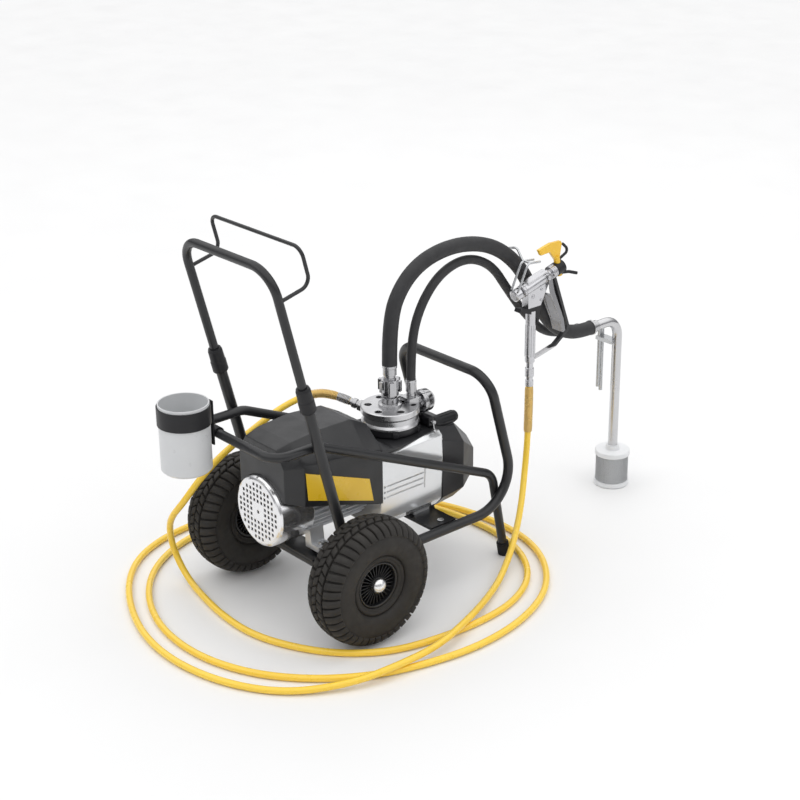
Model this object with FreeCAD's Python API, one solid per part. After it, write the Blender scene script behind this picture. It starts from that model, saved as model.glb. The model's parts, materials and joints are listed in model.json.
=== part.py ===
import FreeCAD, Part
import math
import os

V = FreeCAD.Vector
X = V(1, 0, 0)
Y = V(0, 1, 0)
Z = V(0, 0, 1)

# Airless paint sprayer on a two-wheeled cart, in millimetres, +Z up.
# The lengths below are laid out from the floor point under the wheel axle: +Y runs to the
# front hoop and the suction tube, +X to the right-hand wheel. Every solid is moved by
# -MIDDLE_Y when it is saved, so that the origin is the middle of the machine's footprint.
MIDDLE_Y = 372.5

# Wheels and axle
TYRE_R = 150.0
TYRE_W = 105.0
WHEEL_X = 231.0
AXLE_Z = 150.0
AXLE_R = 8.0
AXLE_END_X = 262.0
BEARING_R = 15.0
RIM_R = 54.0
RIM_HALF_W = 34.0
RIM_RIBS = 12

# Bent tube frame
FRAME_R = 12.0
FRAME_WALL = 2.0
FRAME_X = 160.0
FRAME_Z = 148.0
REAR_CROSS_Y = -35.0
HOOP_CORNER_Y = 529.5
HOOP_TOP_Y = 430.7
HOOP_TOP_Z = 496.0
RAIL_R = 10.8
RAIL_X = 136.6
RAIL_Z = 460.0
RAIL_REAR_Y = -177.0
LEG_FOOT = (RAIL_X, 509.8, 6.0)
LEG_TOP = (RAIL_X, 465.7, 229.9)
LEG_LEAN = 0.197
FOOT_Y = 511.0

# Telescopic handle
POST_R = 12.4
HANDLE_R = 10.0
SLIDE_GAP = 0.3
POST_LEAN = 0.26
POST_TOP_Z = 590.0
HANDLE_LOW_Z = 352.0
HANDLE_TOP_Z = 890.0
RACK_R = 4.2
RACK_Z = 820.0

# Motor and pump on the centre plane
SHAFT_Z = 274.0
SHAFT_R = 11.0
COWL_R = 84.0
COWL_FRONT_Y = -127.0
MOTOR_Y = (-30.0, 130.0)
MOTOR_R = 72.0
HOLE_PITCH = 13.0
HOLE_SIZE = 7.0
FOOT_PAD_Z = (172.0, 185.0)
FOOT_BOLT_X = 80.0
SWITCH_X = -107.0
HEAD_Y = 264.0
HEAD_TOP_Z = 425.0
HEAD_R = 70.0
BOLT_SEAT_Z = 398.0
HOUSING_Y = (152.0, 345.0)
HOUSING_X = 98.0
HOUSING_TAPER = 4.0
HOUSING_Z = (167.0, 362.0)
KNOB_X = 46.0
KNOB_Z = 366.0

# Hoses and suction set
SUCTION_R = 18.0
RETURN_R = 11.0
HP_R = 8.0
OUTLET_LENGTH = 54.0
TUBE_X = 33.0
TUBE_Y = 1009.0
TUBE_Z = 466.0
TUBE_R = 12.5
STRAINER_R = 46.0
STRAINER_H = 99.0

# Spray gun, hanging beside the suction hose
GUN_X = 62.0
GRIP_Y = 661.0
GRIP_R = 12.4
BARREL_SLOPE = math.radians(15.0)
TRIGGER_PIVOT = (704.0, 657.0)
HUB_Y = 752.0
HUB_Z = 668.0

# Cup
CUP_X = -88.0
CUP_Y = -250.0
CUP_R = 57.0
CUP_Z = (387.0, 547.0)
HOOK_X = -76.0


# Routes of the three hoses, as the points where their straight runs would meet.
SUCTION_ROUTE = [
    (0, 264, 525), (0, 264, 636), (3, 302, 716), (8, 369, 764), (12, 470, 778), (14, 578, 752),
    (14, 666, 683), (16, 718, 592), (20, 770, 510), (26, 812, 479), (33, 858, 466), (33, 905, 466),
]
RETURN_ROUTE = [
    (20, 312, 482), (20, 312, 570), (18, 342, 655), (14, 408, 720), (7, 500, 737),
    (-3, 590, 696), (-13, 655, 615), (-18, 720, 535), (-14, 808, 452), (-14, 905, 452),
]
HP_ROUTE = [
    (-98, 224, 414), (-150, 201, 428), (-186, 158, 421), (-205, 92, 398), (-207, 15, 366),
    (-208, -70, 332), (-218, -132, 282), (-240, -170, 222), (-276, -180, 178), (-303, -172, 134),
    (-305, -164, 81), (-278, -160, 35), (-232, -162, 8), (-165, -177, 8), (-70, -194, 8),
    (50, -196, 8), (160, -158, 8), (252, -96, 8), (318, -5, 8), (344, 110, 8), (352, 230, 8),
    (338, 345, 8), (285, 450, 8), (195, 525, 8), (80, 564, 8), (-60, 564, 8), (-200, 530, 8),
    (-320, 450, 8), (-400, 330, 8), (-442, 190, 8), (-452, 40, 8), (-422, -90, 8), (-348, -203, 8),
    (-238, -285, 8), (-100, -336, 8), (50, -340, 8), (185, -295, 8), (290, -212, 8), (368, -100, 8),
    (408, 20, 8), (428, 150, 8), (414, 290, 8), (362, 425, 8), (270, 528, 8),
    (150, 594, 8), (10, 608, 8), (-140, 580, 8), (-280, 510, 8), (-398, 405, 8),
    (-466, 265, 8), (-494, 110, 8), (-492, -45, 8), (-445, -170, 8), (-358, -262, 8),
    (-235, -335, 8), (-95, -384, 8), (50, -392, 8), (190, -356, 8), (300, -282, 8),
    (370, -165, 16), (394, -50, 27), (388, 70, 25), (352, 185, 28), (306, 280, 18),
    (256, 372, 12), (212, 446, 24), (164, 520, 50), (112, 592, 96), (74, 640, 165),
    (GUN_X, 661, 262), (GUN_X, 661, 383),
]


def box(low, high):
    size = V(*high) - V(*low)
    return Part.makeBox(size.x, size.y, size.z, V(*low))


def rod(start, end, radius):
    start = V(*start)
    axis = V(*end) - start
    return Part.makeCylinder(radius, axis.Length, start, axis)


def ring(start, end, outer, inner):
    return rod(start, end, outer).cut(rod(start, end, inner))


def turned(outline, origin, axis):
    """Solid of revolution: outline is (distance along the axis, radius) pairs."""
    points = [V(radius, 0, along) for along, radius in outline]
    face = Part.Face(Part.makePolygon(points + points[:1]))
    solid = face.revolve(V(0, 0, 0), Z, 360)
    solid.Placement = FreeCAD.Placement(V(*origin), FreeCAD.Rotation(Z, axis))
    return solid


def fused(solids):
    return solids[0].multiFuse(solids[1:]).removeSplitter()


def mirrored(shape):
    return shape.mirror(V(0, 0, 0), X)


def spun(shape, centre, axis, count):
    """Copies of a shape at equal angles about an axis, the first one included."""
    copies = []
    for index in range(count):
        copy = shape.copy()
        copy.rotate(centre, axis, 360.0 * index / count)
        copies.append(copy)
    return copies


def bend_radius(before, corner, after):
    """Largest tangent arc that leaves a tenth of the shorter run straight."""
    shorter = min((corner - before).Length, (after - corner).Length)
    half_turn = (corner - before).getAngle(after - corner) / 2
    return 0.45 * shorter / math.tan(half_turn)


def bent_path(points, radii=None):
    """Straight runs joined by tangent arcs; with no radii each arc is as large as fits."""
    points = [V(*point) for point in points]
    edges = []
    start = points[0]
    for index in range(1, len(points) - 1):
        before, corner, after = points[index - 1:index + 2]
        radius = radii[index - 1] if radii else bend_radius(before, corner, after)
        back = (before - corner).normalize()
        ahead = (after - corner).normalize()
        half_angle = back.getAngle(ahead) / 2
        reach = radius / math.tan(half_angle)
        inward = (back + ahead).normalize()
        middle = corner + inward * (radius / math.sin(half_angle) - radius)
        first = corner + back * reach
        last = corner + ahead * reach
        edges.append(Part.LineSegment(start, first).toShape())
        edges.append(Part.Arc(first, middle, last).toShape())
        start = last
    edges.append(Part.LineSegment(start, points[-1]).toShape())
    return Part.Wire(edges)


def bar(path, radius):
    edge = path.Edges[0]
    section = Part.Wire(Part.makeCircle(radius, edge.valueAt(edge.FirstParameter),
                                        edge.tangentAt(edge.FirstParameter)))
    return path.makePipeShell([section], True, False)


def tube(path, radius, wall):
    return bar(path, radius).cut(bar(path, radius - wall))


def prism(sections):
    """Solid with flat or ruled sides through closed outlines of 3-D points."""
    wires = [Part.makePolygon([V(*point) for point in outline + outline[:1]]) for outline in sections]
    return Part.makeLoft(wires, True, True)


def hood_section(y, half_width, low, side_top, fold_x, top):
    """Symmetric cross-section of a casing with a folded roof."""
    half = [(half_width, y, low), (half_width, y, side_top), (fold_x, y, top)]
    return half + [(-x, y, z) for x, y, z in reversed(half)]


def post_point(x, z):
    return (x, 9.3 - POST_LEAN * (z - AXLE_Z), z)


def make_lower_frame():
    corners = [(FRAME_X, REAR_CROSS_Y - 13, FRAME_Z), (FRAME_X, HOOP_CORNER_Y, FRAME_Z),
               (FRAME_X, HOOP_TOP_Y, HOOP_TOP_Z), (-FRAME_X, HOOP_TOP_Y, HOOP_TOP_Z),
               (-FRAME_X, HOOP_CORNER_Y, FRAME_Z), (-FRAME_X, REAR_CROSS_Y - 13, FRAME_Z)]
    path = bent_path(corners, [100, 62, 62, 100])
    return tube(path, FRAME_R, FRAME_WALL), bar(path, FRAME_R)


def make_upper_rail():
    half = [LEG_FOOT, LEG_TOP, (RAIL_X, -59.6, RAIL_Z), (RAIL_X, RAIL_REAR_Y, RAIL_Z)]
    corners = half + [(-x, y, z) for x, y, z in reversed(half)]
    return tube(bent_path(corners, [52, 60, 42, 42, 60, 52]), RAIL_R, FRAME_WALL)


def make_foot_cap():
    """Rubber boot on a leg, cut off flat at the floor."""
    low = V(RAIL_X, FOOT_Y + LEG_LEAN * 8, -8)
    high = V(RAIL_X, FOOT_Y - LEG_LEAN * 34, 34)
    boot = Part.makeCylinder(15, (high - low).Length, low, high - low)
    leg = rod(LEG_FOOT, LEG_TOP, RAIL_R)
    return boot.cut(leg).cut(box((100, 450, -30), (180, 560, 0)))


def make_handle():
    corners = [post_point(FRAME_X, HANDLE_LOW_Z), post_point(FRAME_X, HANDLE_TOP_Z),
               post_point(-FRAME_X, HANDLE_TOP_Z), post_point(-FRAME_X, HANDLE_LOW_Z)]
    path = bent_path(corners, [62, 62])
    return tube(path, HANDLE_R, 1.8), bar(path, HANDLE_R)


def make_rack(handle_bar):
    """Bent wire on the handle, over which the hose is hung for carrying."""
    root = post_point(FRAME_X, RACK_Z)
    knee = (FRAME_X, root[1] + 82, RACK_Z + 21)
    top = (FRAME_X, knee[1] - POST_LEAN * 84, knee[2] + 84)
    half = [root, knee, top]
    corners = half + [(-x, y, z) for x, y, z in reversed(half)]
    return bar(bent_path(corners, [24, 24, 24, 24]), RACK_R).cut(handle_bar)


def make_collar(x):
    """Twist collar that clamps the handle tube at the top of its post."""
    low, step = post_point(x, POST_TOP_Z - 30), post_point(x, POST_TOP_Z + 1.5)
    high = post_point(x, POST_TOP_Z + 28)
    axis = V(*high) - V(*low)
    length = axis.Length
    outline = [(0, 12.8), (0, 16), (3, 18), (length * 0.45, 18), (length * 0.5, 17),
               (length - 6, 16.5), (length, 14.5), (length, HANDLE_R + SLIDE_GAP)]
    depth = (V(*step) - V(*low)).Length
    outline += [(depth, HANDLE_R + SLIDE_GAP), (depth, 12.8)]
    return turned(outline, low, axis)


def make_cup():
    x, y = CUP_X, CUP_Y
    low, high = CUP_Z
    return turned([(low, 0), (low, CUP_R - 6), (low + 6, CUP_R), (high, CUP_R),
                   (high, CUP_R - 3), (low + 7, CUP_R - 3), (low + 3, CUP_R - 8), (low + 3, 0)],
                  (x, y, 0), Z)


def make_cup_band():
    """Band round the cup with a strap that hooks over the rear bar."""
    band = ring((CUP_X, CUP_Y, 499), (CUP_X, CUP_Y, 541), CUP_R + 3, CUP_R)
    hook = ring((HOOK_X - 12, RAIL_REAR_Y, RAIL_Z), (HOOK_X + 12, RAIL_REAR_Y, RAIL_Z), 14.4, 11.4)
    below = box((HOOK_X - 20, RAIL_REAR_Y - 20, RAIL_Z - 20), (HOOK_X + 20, RAIL_REAR_Y + 20, RAIL_Z))
    strap = box((HOOK_X - 12, RAIL_REAR_Y - 14.4, RAIL_Z - 24), (HOOK_X + 12, RAIL_REAR_Y - 11.4, 541))
    lip = box((HOOK_X - 12, RAIL_REAR_Y + 11.4, RAIL_Z - 18), (HOOK_X + 12, RAIL_REAR_Y + 14.4, RAIL_Z))
    return fused([band, hook.cut(below), strap, lip])


def make_tyre(x):
    """Balloon tyre: crown and side walls as arcs, with the inner tube's air space left out."""
    half = TYRE_W / 2
    crown_edge = TYRE_R - 11
    arcs = [Part.Arc(V(RIM_R, 0, -RIM_HALF_W), V(96, 0, -half), V(crown_edge, 0, -half + 13)),
            Part.Arc(V(crown_edge, 0, -half + 13), V(TYRE_R, 0, 0), V(crown_edge, 0, half - 13)),
            Part.Arc(V(crown_edge, 0, half - 13), V(96, 0, half), V(RIM_R, 0, RIM_HALF_W)),
            Part.LineSegment(V(RIM_R, 0, RIM_HALF_W), V(RIM_R, 0, -RIM_HALF_W))]
    carcass = Part.Face(Part.Wire([arc.toShape() for arc in arcs])).revolve(V(0, 0, 0), Z, 360)
    air = Part.makeTorus(98, 35)
    tyre = carcass.cut(air)
    tyre.Placement = FreeCAD.Placement(V(x, 0, AXLE_Z), FreeCAD.Rotation(Z, X))
    return tyre


def make_rim(x):
    """Plastic rim with a ribbed face on its outer side."""
    seat = BEARING_R + SLIDE_GAP
    outline = [(-46, seat), (-46, 21), (14, 23), (14, RIM_R - 7), (-RIM_HALF_W, RIM_R - 7),
               (-RIM_HALF_W, RIM_R), (RIM_HALF_W, RIM_R), (RIM_HALF_W, RIM_R - 5),
               (20, RIM_R - 7), (20, 21), (34, 19), (34, seat), (23, seat), (23, 10), (-35, 10), (-35, seat)]
    disc = turned(outline, (0, 0, 0), Z)
    rib = box((20.5, -1.5, 19), (RIM_R - 6, 1.5, 29))
    rim = fused([disc] + spun(rib, V(0, 0, 0), Z, RIM_RIBS))
    rim.Placement = FreeCAD.Placement(V(0, 0, AXLE_Z), FreeCAD.Rotation(Z, X))
    rim.translate(V(x, 0, 0))
    return rim


def make_bearings():
    """Ball bearings as plain rings: two in each wheel and two on the motor shaft."""
    right = [ring((WHEEL_X + start, 0, AXLE_Z), (WHEEL_X + start + 10, 0, AXLE_Z), BEARING_R, AXLE_R)
             for start in (-45.5, 23.5)]
    motor = [ring((0, start, SHAFT_Z), (0, start + 10, SHAFT_Z), 20, SHAFT_R + SLIDE_GAP)
             for start in (-38, 130)]
    return right + [mirrored(bearing) for bearing in right] + motor


def make_axle_cap():
    return turned([(0, 0), (0, 16), (4, 16), (9, 13.5), (12.5, 8.5), (14, 0)],
                  (AXLE_END_X + 4, 0, AXLE_Z), X)


def grille_holes():
    """Square holes on a grid over the cowl's face, with a plain square in the middle."""
    holes = []
    reach = 5
    half = HOLE_SIZE / 2
    for column in range(-reach, reach + 1):
        for row in range(-reach, reach + 1):
            inside = math.hypot(column, row) * HOLE_PITCH < COWL_R - 17
            plain = max(abs(column), abs(row)) == 1
            if inside and not plain:
                x = column * HOLE_PITCH
                z = SHAFT_Z + row * HOLE_PITCH
                low = (x - half, COWL_FRONT_Y - 5, z - half)
                holes.append(box(low, (x + half, COWL_FRONT_Y + 8, z + half)))
    return holes


def make_cowl():
    length = -32 - COWL_FRONT_Y
    shell = turned([(0, 0), (0, COWL_R - 8), (2.5, COWL_R - 3), (8, COWL_R), (length, COWL_R),
                    (length, COWL_R - 2.5), (9, COWL_R - 2.5), (4, COWL_R - 9), (2.5, 0)],
                   (0, COWL_FRONT_Y, SHAFT_Z), Y)
    return shell.cut(Part.makeCompound(grille_holes()))


def make_motor_housing():
    """Finned barrel with two cast feet."""
    rear, front = MOTOR_Y
    barrel = ring((0, rear, SHAFT_Z), (0, front, SHAFT_Z), MOTOR_R, MOTOR_R - 6)
    fin = box((-1.3, rear, SHAFT_Z + MOTOR_R - 1), (1.3, front, SHAFT_Z + MOTOR_R + 9))
    pad = box((44, rear, FOOT_PAD_Z[0]), (92, 8, FOOT_PAD_Z[1]))
    web = prism([[(44, y, FOOT_PAD_Z[1] - 1), (66, y, FOOT_PAD_Z[1] - 1), (58, y, 246), (44, y, 246)]
                 for y in (rear, 8)])
    keep_out = rod((0, rear - 1, SHAFT_Z), (0, front + 1, SHAFT_Z), MOTOR_R - 3)
    foot = fused([pad, web.cut(keep_out)])
    feet = [foot, mirrored(foot)]
    return fused([barrel] + spun(fin, V(0, 0, SHAFT_Z), Y, 36) + feet)


def make_end_shield(y, thick):
    outline = [(0, 20), (0, 26), (-4, 30), (-4, MOTOR_R), (thick, MOTOR_R), (thick, 20)]
    return turned(outline, (0, y, SHAFT_Z), Y)


def make_rotor():
    """Shaft with rotor core and the eccentric that drives the piston."""
    shaft = rod((0, -112, SHAFT_Z), (0, 292, SHAFT_Z), SHAFT_R)
    core = rod((0, 8, SHAFT_Z), (0, 92, SHAFT_Z), 41)
    eccentric = rod((0, 250, SHAFT_Z + 6), (0, 278, SHAFT_Z + 6), 24)
    return fused([shaft, core, eccentric])


def make_fan():
    hub = ring((0, -104, SHAFT_Z), (0, -74, SHAFT_Z), 20, SHAFT_R)
    plate = ring((0, -77, SHAFT_Z), (0, -74, SHAFT_Z), 68, 19)
    blade = box((-1.2, -104, SHAFT_Z + 19), (1.2, -76, SHAFT_Z + 68))
    return fused([hub, plate] + spun(blade, V(0, 0, SHAFT_Z), Y, 9))


def make_shroud():
    """Folded plastic hood over the motor and a low deck in front of it round the pump head."""
    outer = [hood_section(-112, 82, 318, 400, 56, 438), hood_section(-74, 107, 308, 402, 60, 448),
             hood_section(10, 108, 286, 398, 60, 456), hood_section(100, 108, 258, 388, 54, 452),
             hood_section(150, 106, 243, 378, 50, 425)]
    inner = [hood_section(-109, 79, 300, 398, 54, 435), hood_section(-74, 104, 290, 400, 58, 445),
             hood_section(10, 105, 270, 396, 58, 453), hood_section(100, 105, 240, 386, 52, 449),
             hood_section(147, 103, 225, 376, 48, 423)]
    hood = prism(outer).cut(prism(inner))
    deck = prism([hood_section(150, 106, 362.3, 366, 62, 392), hood_section(198, 102, 362.3, 364, 62, 365),
                  hood_section(345.7, 72, 362.3, 363.5, 56, 365)])
    well = rod((0, HEAD_Y, 350), (0, HEAD_Y, 420), 52)
    step = rod((0, HEAD_Y, 365), (0, HEAD_Y, 420), 74)
    slot = rod((0, -40, SHAFT_Z), (0, HOUSING_Y[0], SHAFT_Z), MOTOR_R + 13)
    hood = hood.cut(rod((0, -130, SHAFT_Z), (0, -31, SHAFT_Z), COWL_R + 1)).cut(slot)
    hood = hood.cut(box((SWITCH_X - 5, 24, 330), (SWITCH_X + 7, 60, 352)))
    return fused([hood, deck.cut(well).cut(step)])


def make_label():
    """Plain slanted plate on the right-hand side of the hood."""
    outline = [(-72, 389), (108, 320), (119, 262), (-67, 322)]
    return prism([[(108.1, y, z) for y, z in outline], [(109.6, y, z) for y, z in outline]])


def side_grooves():
    """Three long grooves low on the housing's side with a dimple behind each, and an upright one."""
    def strip(start, stop, bottom, top):
        sections = []
        for y in (start, stop):
            skin = HOUSING_X - 1.5 - HOUSING_TAPER * (y - HOUSING_Y[0]) / (HOUSING_Y[1] - HOUSING_Y[0])
            sections.append([(skin - 1.6, y, bottom), (skin + 5, y, bottom), (skin + 5, y, top),
                             (skin - 1.6, y, top)])
        return prism(sections)

    grooves = [strip(288, 290, 236, 296)]
    for z in (247, 261, 275):
        grooves.append(strip(170, 284, z, z + 2))
        grooves.append(rod((HOUSING_X - 5, 163, z + 1), (HOUSING_X + 2, 163, z + 1), 2.4))
    return grooves


def make_pump_housing():
    """Die-cast crank case with a chamber for the eccentric and a bore for the piston."""
    rear, front = HOUSING_Y
    low, high = HOUSING_Z

    def section(y, half_width):
        half = [(half_width - 24, y, low), (half_width - 4, y, low + 22), (half_width, y, high - 70),
                (half_width - 2, y, high - 9), (half_width - 12, y, high)]
        return half + [(-x, y, z) for x, _, z in reversed(half)]

    casing = prism([section(rear, HOUSING_X), section(front, HOUSING_X - HOUSING_TAPER)])
    chamber = box((-60, rear + 14, 200), (60, front - 20, 322))
    bore = rod((0, HEAD_Y, 300), (0, HEAD_Y, high + 1), 18.3)
    shaft_hole = rod((0, rear - 1, SHAFT_Z), (0, rear + 20, SHAFT_Z), SHAFT_R + 2)
    foot = box((28, 276, 158), (70, 324, low + 3))
    solid = fused([casing, foot, mirrored(foot)]).cut(chamber).cut(bore).cut(shaft_hole)
    grooves = side_grooves()
    return solid.cut(Part.makeCompound(grooves + [mirrored(groove) for groove in grooves]))


def make_front_cap():
    def section(y, half_width, low, high, chamfer):
        half = [(half_width - chamfer, y, low), (half_width, y, low + chamfer),
                (half_width, y, high - chamfer), (half_width - chamfer, y, high)]
        return half + [(-x, y, z) for x, _, z in reversed(half)]

    cap = prism([section(346, 93, 156, 374, 34), section(418, 88, 156, 352, 38),
                 section(478, 58, 188, 296, 26)])
    return cap.cut(rod((KNOB_X, 340, KNOB_Z), (KNOB_X, 480, KNOB_Z), 17.5))


def make_piston():
    return rod((0, HEAD_Y, 305), (0, HEAD_Y, 361), 18)


def make_diaphragm():
    return rod((0, HEAD_Y, 372.5), (0, HEAD_Y, 375.5), 46)


def make_head_base():
    """Black clamping ring with tabs under the pump head."""
    lower = turned([(365.3, 0), (365.3, 54), (372.5, 54), (372.5, 0)], (0, HEAD_Y, 0), Z)
    upper = ring((0, HEAD_Y, 368), (0, HEAD_Y, 384), 68, 46)
    tab = box((-7, HEAD_Y + 60, 368), (7, HEAD_Y + 73, 380))
    return fused([lower, upper] + spun(tab, V(0, HEAD_Y, 0), Z, 6))


def outlet_line():
    """Inner end and direction of the hose connector, in line with the hose's first run."""
    tip = V(*HP_ROUTE[0])
    axis = (V(*HP_ROUTE[1]) - tip).normalize()
    return tip - axis * OUTLET_LENGTH, axis


def head_bolt_places():
    angles = [math.radians(48 + 60 * index) for index in range(6)]
    return [(52 * math.cos(a), HEAD_Y + 52 * math.sin(a)) for a in angles]


def make_head_disc():
    """Waisted steel head with counterbores for its screws."""
    outline = [(375.5, 0), (375.5, 46), (384, 46), (384, 69), (388, 69), (394, 65.5), (406, 65.5),
               (411, HEAD_R), (423, HEAD_R), (HEAD_TOP_Z, HEAD_R - 2), (HEAD_TOP_Z, 0)]
    disc = turned(outline, (0, HEAD_Y, 0), Z)
    for x, y in head_bolt_places():
        disc = disc.cut(rod((x, y, BOLT_SEAT_Z), (x, y, HEAD_TOP_Z + 1), 9))
    root, axis = outlet_line()
    return disc.cut(Part.makeCylinder(7.5, 30, root - axis * 3, axis))


def make_inlet_valve():
    """Inlet valve body on top of the head, up to the seat of the suction nut."""
    return turned([(HEAD_TOP_Z, 0), (HEAD_TOP_Z, 28), (430, 28), (431, 20), (446, 20), (447, 15),
                   (494, 15), (494, 0)], (0, HEAD_Y, 0), Z)


def make_inlet_nut():
    """Union nut with lugs for turning it by hand."""
    core = ring((0, HEAD_Y, 452), (0, HEAD_Y, 490), 21, 15)
    lug = box((-5, HEAD_Y + 18, 462), (5, HEAD_Y + 28, 488))
    return fused([core] + spun(lug, V(0, HEAD_Y, 0), Z, 6))


def make_valve_block():
    """Block on the head that the return hose screws to."""
    block = box((2, 292, HEAD_TOP_Z), (38, 327.3, 440))
    stub = rod((20, 312, 440), (20, 312, 448), 11)
    return fused([block, stub])


def make_outlet_valve():
    bulb = turned([(0, 0), (0, 14), (4, 14), (4, 28), (10, 28), (11, 26.5), (14, 26.5), (15, 28), (30, 27),
                   (38, 21), (42, 10), (43, 0)], (24, 327.5, 420), Y)
    return bulb.cut(rod((0, HEAD_Y, 380), (0, HEAD_Y, 440), HEAD_R + 0.3))


def make_valve_box():
    """Black housing of the pressure regulator, between the head and the front cap."""
    body = box((8, 331, 369), (62, 345.7, 390)).cut(rod((0, HEAD_Y, 360), (0, HEAD_Y, 430), 74.5))
    boss = rod((KNOB_X, 345.7, KNOB_Z), (KNOB_X, 349, KNOB_Z), 13)
    return fused([body, boss])


def make_pressure_knob():
    knob = turned([(0, 0), (0, 8), (5, 8), (5, 14), (9, 15.5), (68, 15.5), (77, 13), (81, 9), (81, 0)],
                  (KNOB_X, 349.3, KNOB_Z), Y)
    groove = box((KNOB_X - 1, 372, KNOB_Z + 14), (KNOB_X + 1, 418, KNOB_Z + 17))
    return knob.cut(Part.makeCompound(spun(groove, V(KNOB_X, 0, KNOB_Z), Y, 12)))


def make_relief_lever():
    """Wire lever of the relief valve, on a short spindle in the regulator housing."""
    spindle = rod((62.3, 338, 380), (73, 338, 380), 5)
    arm = rod((68, 338, 380), (92, 322, 369), 2.8)
    return fused([spindle, arm, Part.makeSphere(4.5, V(92, 322, 369))])


def make_outlet_fitting():
    """Hose connector on the side of the head."""
    root, axis = outlet_line()
    outline = [(0, 0), (0, 6), (20, 6), (20, 13), (30, 13), (32, 10), (35, 10), (37, 12), (46, 12),
               (48, HP_R + 1), (OUTLET_LENGTH, HP_R + 1), (OUTLET_LENGTH, 0)]
    return turned(outline, root, axis)


def make_ferrules():
    """Crimped sleeves and end pieces on the suction and return hoses."""
    inlet = turned([(494.2, 0), (494.2, 13), (500, 13), (501, 16.5), (518, 16.5), (519, 18), (525, 18),
                    (525, 0)], (0, HEAD_Y, 0), Z)
    back = turned([(448, 0), (448, 10), (452, 10), (453, 13), (478, 13), (479, 12), (482, 12), (482, 0)],
                  (20, 312, 0), Z)
    tube_end = turned([(0, TUBE_R), (0, 19.5), (6, 19.5), (8, 15), (22, 15), (22, TUBE_R)],
                      SUCTION_ROUTE[-1], Y)
    small_end = turned([(0, 5), (0, 12), (6, 12), (8, 9), (18, 9), (18, 5)], RETURN_ROUTE[-1], Y)
    return [inlet, back, tube_end, small_end]


def make_suction_tube():
    path = bent_path([(TUBE_X, 905, TUBE_Z), (TUBE_X, TUBE_Y, TUBE_Z), (TUBE_X, TUBE_Y, 92)], [46])
    return tube(path, TUBE_R, 1.5)


def make_return_tube():
    """Return pipe and its short twin, held to the suction tube by a clip."""
    x, start_y, z = RETURN_ROUTE[-1]
    long_pipe = bar(bent_path([(x, start_y, z), (x, 993, z), (x, 993, 268)], [26]), 5)
    twin = rod((x, 1004, 255), (x, 1004, 428), 5)
    clip = box((x - 7, 986, 400), (TUBE_X, 1012, 410))
    return fused([long_pipe, twin, clip.cut(rod((TUBE_X, TUBE_Y, 390), (TUBE_X, TUBE_Y, 418), TUBE_R))])


def make_strainer():
    """Floor strainer: base, top plate with a collar for the suction tube, and inner posts."""
    base = turned([(0, 0), (0, STRAINER_R - 2), (2, STRAINER_R), (13, STRAINER_R), (13, 0)],
                  (TUBE_X, TUBE_Y, 0), Z)
    top = turned([(86, TUBE_R), (86, STRAINER_R), (97, STRAINER_R), (STRAINER_H, STRAINER_R - 2),
                  (STRAINER_H, 19), (112, 17), (112, TUBE_R)], (TUBE_X, TUBE_Y, 0), Z)
    post = rod((TUBE_X + 34, TUBE_Y, 12), (TUBE_X + 34, TUBE_Y, 87), 3)
    return fused([base, top] + spun(post, V(TUBE_X, TUBE_Y, 0), Z, 4))


def make_strainer_screen():
    return ring((TUBE_X, TUBE_Y, 13), (TUBE_X, TUBE_Y, 86), STRAINER_R - 3, STRAINER_R - 5)


def along_barrel(forward, up, side=0.0):
    """Point in the gun's own directions, counted from the middle of the tip guard."""
    c, s = math.cos(BARREL_SLOPE), math.sin(BARREL_SLOPE)
    return (GUN_X + side, HUB_Y + c * forward - s * up, HUB_Z + s * forward + c * up)


def make_gun_body():
    """Aluminium gun casting: barrel, yoke for the trigger and the root of the grip."""
    barrel = rod(along_barrel(-128, 0), along_barrel(-46, 0), 15)
    nose = rod(along_barrel(-46, 0), along_barrel(-30, 0), 11)
    nut = rod(along_barrel(-30, 0), along_barrel(-14, 0), 16)
    outline = [(640, 655), (706, 672), (710, 640), (684, 590), (642, 590)]
    yoke = prism([[(GUN_X + side, y, z) for y, z in outline] for side in (-11, 11)])
    knob = turned([(0, 0), (0, 11), (3, 15), (20, 15), (23, 10), (28, 10), (28, 0)],
                  along_barrel(-156, 0), V(0, math.cos(BARREL_SLOPE), math.sin(BARREL_SLOPE)))
    pivot = rod((GUN_X - 19.5, *TRIGGER_PIVOT), (GUN_X + 19.5, *TRIGGER_PIVOT), 2.5)
    return fused([barrel, nose, nut, yoke, knob, pivot])


def make_gun_grip():
    """Grip tube with the filter inside, and the swivel that the hose screws to."""
    outline = [(383, 0), (383, 10), (398, 10), (399, 8.5), (408, 8.5), (409, 11), (430, 11), (431, 9),
               (446, 9), (447, 12), (458, 12), (459, GRIP_R), (580, GRIP_R), (580, 0)]
    return turned(outline, (GUN_X, GRIP_Y, 0), Z)


def make_gun_saddle():
    """Black web between the thumb and the grip."""
    outline = [(614, 586), (618, 595), (641, 589.8), (685, 589.8), (683, 572), (679, 545), (674.5, 545),
               (668, 568), (640, 578)]
    web = prism([[(x, y, z) for y, z in outline] for x in (GUN_X - 10, GUN_X + 10)])
    return web.cut(rod((GUN_X, GRIP_Y, 540), (GUN_X, GRIP_Y, 580), GRIP_R))


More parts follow.
